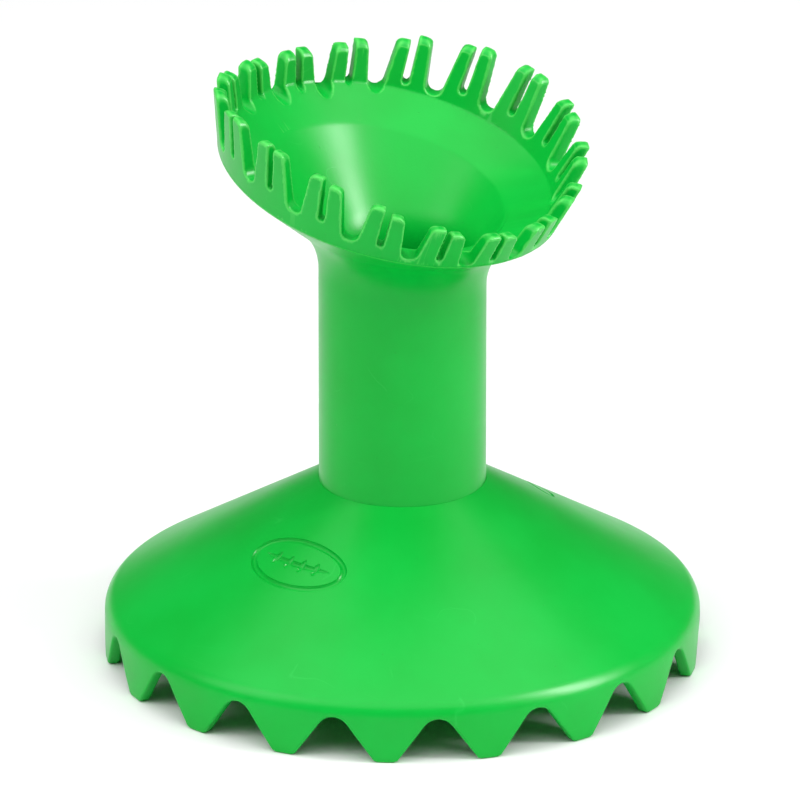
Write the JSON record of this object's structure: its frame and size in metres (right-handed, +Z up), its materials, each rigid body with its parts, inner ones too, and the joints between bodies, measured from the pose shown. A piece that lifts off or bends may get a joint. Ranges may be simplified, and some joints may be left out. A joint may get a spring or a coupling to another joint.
{
  "type": "kicking tee",
  "caption": "Rubber kicking tee: a toothed conical skirt and a hollow stem carry a tilted finger crown that holds an oval ball upright for a place kick.",
  "frame": {"origin": "on the ground, under the axis of the stem and skirt", "axes": "+Z up along the stem, +X towards the low side of the tilted crown"},
  "size_m": [0.15, 0.15, 0.1524],
  "materials": {
    "green_rubber": "satin"
  },
  "bodies": {
    "root": {"ground_skirt": "green_rubber", "stem_tube": "green_rubber", "flared_neck": "green_rubber", "finger_crown": "green_rubber"}
  },
  "joints": []
}
